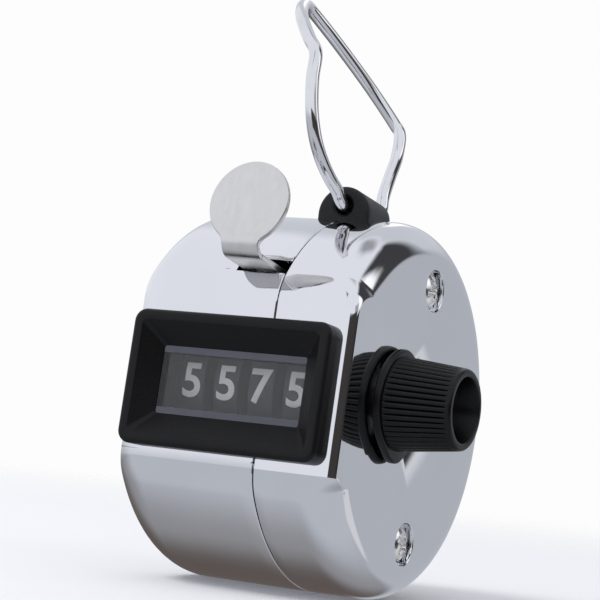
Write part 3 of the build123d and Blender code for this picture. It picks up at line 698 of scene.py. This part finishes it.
def figure_outline(text, height):
    """Flat mesh of one figure, centred on the origin in X and Y, in millimetres."""
    curve = bpy.data.curves.new("figure", "FONT")
    curve.body = text
    curve.size = 1.0
    curve.offset = 0.018
    curve.resolution_u = 6
    obj = bpy.data.objects.new("figure", curve)
    bpy.context.scene.collection.objects.link(obj)
    bpy.context.view_layer.update()
    mesh = bpy.data.meshes.new_from_object(obj.evaluated_get(bpy.context.evaluated_depsgraph_get()))
    bpy.data.objects.remove(obj)
    flat = bmesh.new()
    flat.from_mesh(mesh)
    xs = [v.co.x for v in flat.verts]
    ys = [v.co.y for v in flat.verts]
    k = height / (max(ys) - min(ys))
    mid_x, mid_y = (max(xs) + min(xs)) / 2, (max(ys) + min(ys)) / 2
    for v in flat.verts:
        v.co = ((v.co.x - mid_x) * k, (v.co.y - mid_y) * k, 0)
    return flat


def bend_figure(text, centre_x, angle):
    """One raised figure wrapped on the wheel at an angle up from straight ahead."""
    flat = figure_outline(text, FIGURE_H)
    bmesh.ops.remove_doubles(flat, verts=flat.verts, dist=1e-4)
    grown = bmesh.ops.extrude_face_region(flat, geom=flat.faces[:])
    top = [v for v in grown["geom"] if isinstance(v, bmesh.types.BMVert)]
    bmesh.ops.translate(flat, vec=(0, 0, FIGURE_RAISED), verts=top)
    for k in range(-6, 7):
        bmesh.ops.bisect_plane(flat, geom=flat.verts[:] + flat.edges[:] + flat.faces[:],
                               plane_co=(0, k * 0.33, 0), plane_no=(0, 1, 0))
    for v in flat.verts:
        x, up, out = v.co
        r = RADIUS - 0.01 + out
        a = angle + up / RADIUS
        v.co = (centre_x + x, WHEEL_Y - r * math.cos(a), WHEEL_Z + r * math.sin(a))
    return flat


for place, (name, shown) in enumerate(SHOWN.items()):
    centre = FIRST_X + (place - 1.5) * PITCH
    left, right = centre - HALF_WHEEL, centre + HALF_WHEEL
    bm = bmesh.new()
    profile = [(left, 1.55), (left, RADIUS - 0.2), (left + 0.06, RADIUS - 0.06), (left + 0.2, RADIUS),
               (right - 0.2, RADIUS), (right - 0.06, RADIUS - 0.06), (right, RADIUS - 0.2), (right, RADIUS - 1.2),
               (left + 0.9, RADIUS - 1.2), (left + 0.9, 2.6), (left + 1.6, 2.6), (left + 1.6, 1.55)]
    turned(bm, profile, WHEEL_Y, WHEEL_Z, steps=160)
    tidy(bm)
    for digit in range(10):
        angle = math.radians(36 * (digit - shown) + 1.0)
        flat = bend_figure(str(digit), centre, angle)
        for f in flat.faces:
            f.material_index = 1
        join(bm, flat)
    add_piece(f"{name}_number_wheel", bm, [wheel_black, figure_white], name,
              [f"{name}_wheel"], angle=30)

# ------------------------------------------------------------------ reset knob
bm = bmesh.new()
RIBS, PER = 46, 10                              # ribs, and points round each
BARREL_X, KNOB_END, KNOB_BORE = 16.15, 24.1, 1.52
KNOB_EDGE_R = 0.35


def knob_ring(x, radius, depth):
    """Ring with ribs that stand depth above the grooves between them."""
    ring = []
    for i in range(RIBS * PER):
        t = (i % PER) / PER
        crest = math.sqrt(max(0.0, 1 - (2 * t - 1) ** 2))
        r = radius - depth * (1 - crest)
        a = 2 * math.pi * i / (RIBS * PER)
        ring.append((x, WHEEL_Y + r * math.cos(a), WHEEL_Z + r * math.sin(a)))
    return ring


def barrel(x):
    """Radius over the ribs, from the flange to the outer end."""
    return 5.5 + (4.68 - 5.5) * (x - BARREL_X) / (KNOB_END - BARREL_X)


rings = [knob_ring(16.1, barrel(16.1) - 0.3, 0)]
for x, depth in ((BARREL_X, 0.05), (16.3, 0.2), (16.6, 0.32), (18, 0.34), (20, 0.34), (22, 0.34), (22.9, 0.32),
                 (23.3, 0.22), (23.5, 0.08), (23.6, 0.0)):
    rings.append(knob_ring(x, barrel(x), depth))
for k in range(0, 7):
    a = math.radians(15 * k)
    rings.append(knob_ring(KNOB_END - KNOB_EDGE_R * (1 - math.sin(a)),
                           barrel(KNOB_END) - KNOB_EDGE_R * (1 - math.cos(a)), 0))
# the hollow, its floor and the bore for the shaft
for x, radius in ((KNOB_END, 3.95), (24.06, 3.84), (23.95, 3.77), (18.6, 3.72), (18.5, 3.6),
                  (18.5, KNOB_BORE), (16.1, KNOB_BORE)):
    rings.append(knob_ring(x, radius, 0))
skin(bm, rings, along=True)
tidy(bm)
# flange with its lobe
lobe = []
for k in range(120):
    a = 2 * math.pi * k / 120
    down = max(0.0, math.cos(a + math.pi / 2)) ** 14
    up = max(0.0, math.cos(a - math.pi / 2)) ** 20
    lobe.append((a, 6.05 + 0.85 * down + 0.25 * up))
rings = []
for x, cut in ((15.15, 0.3), (15.19, 0.12), (15.3, 0.02), (15.45, 0.0), (15.9, 0.0), (16.04, 0.03), (16.12, 0.12),
               (BARREL_X, 0.3)):
    rings.append([(x, WHEEL_Y + (r - cut) * math.cos(a), WHEEL_Z + (r - cut) * math.sin(a)) for a, r in lobe])
rings += [circle(x, WHEEL_Y, WHEEL_Z, KNOB_BORE, len(lobe)) for x in (BARREL_X, 15.15)]
flange = bmesh.new()
skin(flange, rings, along=True)
tidy(flange)
join(bm, flange)
add_piece("reset_knob_ribbed", bm, [black_knob], "reset", ["reset_knob"], angle=50)

# ------------------------------------------------------------------ case screws
HEAD_X, HEAD_R, HEAD_STEPS = 13.8, 2.0, 96
CROSS_DEPTH = 0.62


def smooth(t):
    t = max(0.0, min(1.0, t))
    return t * t * (3 - 2 * t)


bm = bmesh.new()
for (sy, sz), degrees in zip(SCREWS, (24, 62)):
    turn = math.radians(degrees)
    rings = [[] for _ in range(30)]
    for j, ring in enumerate(rings):
        r = HEAD_R * (1 - (1 - j / 29) ** 1.25)
        for i in range(HEAD_STEPS):
            a = 2 * math.pi * i / HEAD_STEPS
            u, v = r * math.cos(a - turn), r * math.sin(a - turn)
            dome = 0.95 * math.sqrt(max(0.0, 1 - (r / 2.28) ** 2)) + 0.05
            arm_u = smooth((1.30 - abs(u)) / 0.25) * smooth((0.36 - abs(v)) / 0.14)
            arm_v = smooth((1.30 - abs(v)) / 0.25) * smooth((0.36 - abs(u)) / 0.14)
            heart = smooth((0.62 - r) / 0.2)
            x = HEAD_X + dome - CROSS_DEPTH * max(arm_u, arm_v, heart)
            ring.append((x, sy + r * math.cos(a), sz + r * math.sin(a)))
    rings[0] = circle(rings[0][0][0], sy, sz, 0.01, HEAD_STEPS)
    rim = [circle(x, sy, sz, r, HEAD_STEPS) for x, r in ((HEAD_X, HEAD_R), (HEAD_X, 0.98), (11.4, 0.98))]
    skin(bm, rings + rim, cap_start=True, cap_end=True)
add_piece("case_screw_heads", tidy(bm), [bright_nickel], "case", ["case_screws"], angle=35)

# ------------------------------------------------------------------ stage
floor_mesh = bpy.data.meshes.new("floor")
bm = bmesh.new()
bmesh.ops.create_circle(bm, cap_ends=True, segments=96, radius=0.6)
bm.to_mesh(floor_mesh)
bm.free()
floor = bpy.data.objects.new("floor", floor_mesh)
floor.location.z = cad_low.z - 0.00005
bpy.context.scene.collection.objects.link(floor)
floor_mat = bpy.data.materials.new("floor")
floor_mat.use_nodes = True
tree = floor_mat.node_tree
paper = tree.nodes["Principled BSDF"]
paper.inputs["Base Color"].default_value = (0.88, 0.88, 0.89, 1)
paper.inputs["Roughness"].default_value = 0.9
paper.inputs["Specular IOR Level"].default_value = 0.1
where = tree.nodes.new("ShaderNodeTexCoord")
reach = tree.nodes.new("ShaderNodeVectorMath")
reach.operation = "LENGTH"
tree.links.new(where.outputs["Object"], reach.inputs[0])
fade = tree.nodes.new("ShaderNodeMapRange")
fade.interpolation_type = "SMOOTHERSTEP"
fade.inputs["From Min"].default_value = 0.05
fade.inputs["From Max"].default_value = 0.45
fade.inputs["To Min"].default_value = 1.0
fade.inputs["To Max"].default_value = 0.0
tree.links.new(reach.outputs["Value"], fade.inputs["Value"])
tree.links.new(fade.outputs["Result"], paper.inputs["Alpha"])
floor_mesh.materials.append(floor_mat)
floor.visible_glossy = False

world = bpy.data.worlds.new("studio")
bpy.context.scene.world = world
world.use_nodes = True
wt = world.node_tree
background = wt.nodes["Background"]
sky_dir = wt.nodes.new("ShaderNodeTexCoord").outputs["Generated"]


def sky_node(kind, **settings):
    """New node in the world's tree."""
    node = wt.nodes.new(kind)
    for key, value in settings.items():
        setattr(node, key, value)
    return node


def facing(vector, wobble=0.0):
    """How far a direction leans towards a vector, with an uneven edge if asked."""
    node = sky_node("ShaderNodeVectorMath", operation="DOT_PRODUCT")
    wt.links.new(sky_dir, node.inputs[0])
    node.inputs[1].default_value = Vector(vector).normalized()
    if not wobble:
        return node.outputs["Value"]
    noise = sky_node("ShaderNodeTexNoise")
    noise.inputs["Scale"].default_value = 5.0
    wt.links.new(sky_dir, noise.inputs["Vector"])
    shift = sky_node("ShaderNodeMath", operation="MULTIPLY_ADD")
    wt.links.new(noise.outputs["Fac"], shift.inputs[0])
    shift.inputs[1].default_value = wobble
    wt.links.new(node.outputs["Value"], shift.inputs[2])
    return shift.outputs["Value"]


def edge(value, low, high):
    """Soft step from 0 at low to 1 at high."""
    node = sky_node("ShaderNodeMapRange", interpolation_type="SMOOTHSTEP")
    node.inputs["From Min"].default_value = low
    node.inputs["From Max"].default_value = high
    wt.links.new(value, node.inputs["Value"])
    return node.outputs["Result"]


def both(*values):
    """Product of masks."""
    out = values[0]
    for value in values[1:]:
        node = sky_node("ShaderNodeMath", operation="MULTIPLY")
        wt.links.new(out, node.inputs[0])
        wt.links.new(value, node.inputs[1])
        out = node.outputs["Value"]
    return out


def heading(azimuth, elevation=0.0):
    """Direction by its azimuth from the front, towards +X, and its elevation, in degrees."""
    a, e = math.radians(azimuth), math.radians(elevation)
    return Vector((math.sin(a) * math.cos(e), -math.cos(a) * math.cos(e), math.sin(e)))


def over(below, colour, mask):
    """Lays a colour over what is below, by a mask."""
    node = sky_node("ShaderNodeMix", data_type="RGBA")
    wt.links.new(mask, node.inputs["Factor"])
    if isinstance(below, tuple):
        node.inputs["A"].default_value = (*below, 1)
    else:
        wt.links.new(below, node.inputs["A"])
    if isinstance(colour, tuple):
        node.inputs["B"].default_value = (*colour, 1)
    else:
        wt.links.new(colour, node.inputs["B"])
    return node.outputs["Result"]


def sector(first, last, low, high, soft=4.0, wobble=0.0):
    """Mask of the directions between two azimuths (under 180 apart) and two elevations, in degrees."""
    start, stop = heading(first + 90), heading(last - 90)
    blur = math.sin(math.radians(soft))
    return both(edge(facing(start), 0.0, blur), edge(facing(stop), 0.0, blur),
                edge(facing((0, 0, 1), wobble), math.sin(math.radians(low)), math.sin(math.radians(low + soft))),
                edge(facing((0, 0, -1), wobble), -math.sin(math.radians(high)),
                     -math.sin(math.radians(high - soft))))


# soft tent all round, dimmer behind the object
tent = over((0.865, 0.885, 0.94), (0.64, 0.665, 0.71), sector(148, 230, 2, 66, soft=9))
tent = over(tent, (0.37, 0.38, 0.41), sector(126, 224, 60, 86, soft=10))
# the ground: lit in front, falling off to the left behind the object
away = facing(heading(-145, -28))
ground = over((0.535, 0.56, 0.61), (0.30, 0.30, 0.315), edge(away, 0.15, 0.78))
ground = over(ground, (0.12, 0.10, 0.092), edge(away, 0.72, 1.0))
tent = over(tent, ground, edge(facing((0, 0, -1)), -0.14, 0.12))
# at the right rear: a grey wall, a bright panel and a dark stand that leans over it
tent = over(tent, (0.485, 0.505, 0.55), sector(138, 208, -30, 22, soft=8))
tent = over(tent, (0.72, 0.73, 0.76), sector(122, 146, -22, 9, soft=4))
tent = over(tent, (1.22, 1.22, 1.24), sector(106, 146, 12, 48, soft=5))
lean = heading(119, 52).cross(heading(141, 12))
stand = both(edge(facing(lean, 0.04), -0.05, 0.01), edge(facing(heading(70)), 0.0, 0.16),
             edge(facing((0, 0, 1), 0.05), 0.20, 0.29), edge(facing((0, 0, -1), 0.08), -0.84, -0.74))
tent = over(tent, (0.055, 0.055, 0.06), stand)
tent = over(tent, (0.40, 0.40, 0.42), sector(64, 114, 6, 36, soft=8))
# small bright panels right behind
tent = over(tent, (1.25, 1.25, 1.27), sector(-167, -152, 22, 42, soft=5))
tent = over(tent, (0.98, 0.98, 1.0), sector(-160, -140, -4, 16, soft=5))
# dark low strip in front and along the right
tent = over(tent, (0.035, 0.034, 0.036), sector(14, 142, -4, 9, soft=2))
tent = over(tent, (0.05, 0.045, 0.043), sector(8, 104, -4, 15, soft=3))
tent = over(tent, (0.06, 0.05, 0.048), sector(12, 130, -13, 0, soft=3))
path = wt.nodes.new("ShaderNodeLightPath")
seen = over(tent, (0.98, 0.98, 0.98), path.outputs["Is Camera Ray"])
wt.links.new(seen, background.inputs["Color"])
background.inputs["Strength"].default_value = 1.0


scene = bpy.context.scene
key_data = bpy.data.lights.new("key", "AREA")
key_data.shape = "DISK"
key_data.size = 0.30
key_data.energy = 2.2
key = bpy.data.objects.new("key", key_data)
key.location = (-0.35, -0.35, 0.55)
key.rotation_euler = (-key.location).to_track_quat("-Z", "Y").to_euler()
key.visible_glossy = False
scene.collection.objects.link(key)

scene.view_settings.view_transform = "Standard"
scene.view_settings.look = "None"
scene.view_settings.exposure = 0.0

camera_data = bpy.data.cameras.new("camera")
camera = bpy.data.objects.new("camera", camera_data)
scene.collection.objects.link(camera)
camera_data.sensor_width = 36.0
camera_data.lens = 115.25
camera_data.clip_start, camera_data.clip_end = 0.01, 50.0
right = Vector((0.8818, 0.459, 0.1085)).normalized()
back = Vector((0.4674, -0.8812, -0.0704)).normalized()
up = back.cross(right).normalized()
right = up.cross(back).normalized()
camera.matrix_world = Matrix((
    (right.x, up.x, back.x, 108.13 * MM), (right.y, up.y, back.y, -208.09 * MM),
    (right.z, up.z, back.z, -4.16 * MM), (0, 0, 0, 1)))
scene.camera = camera
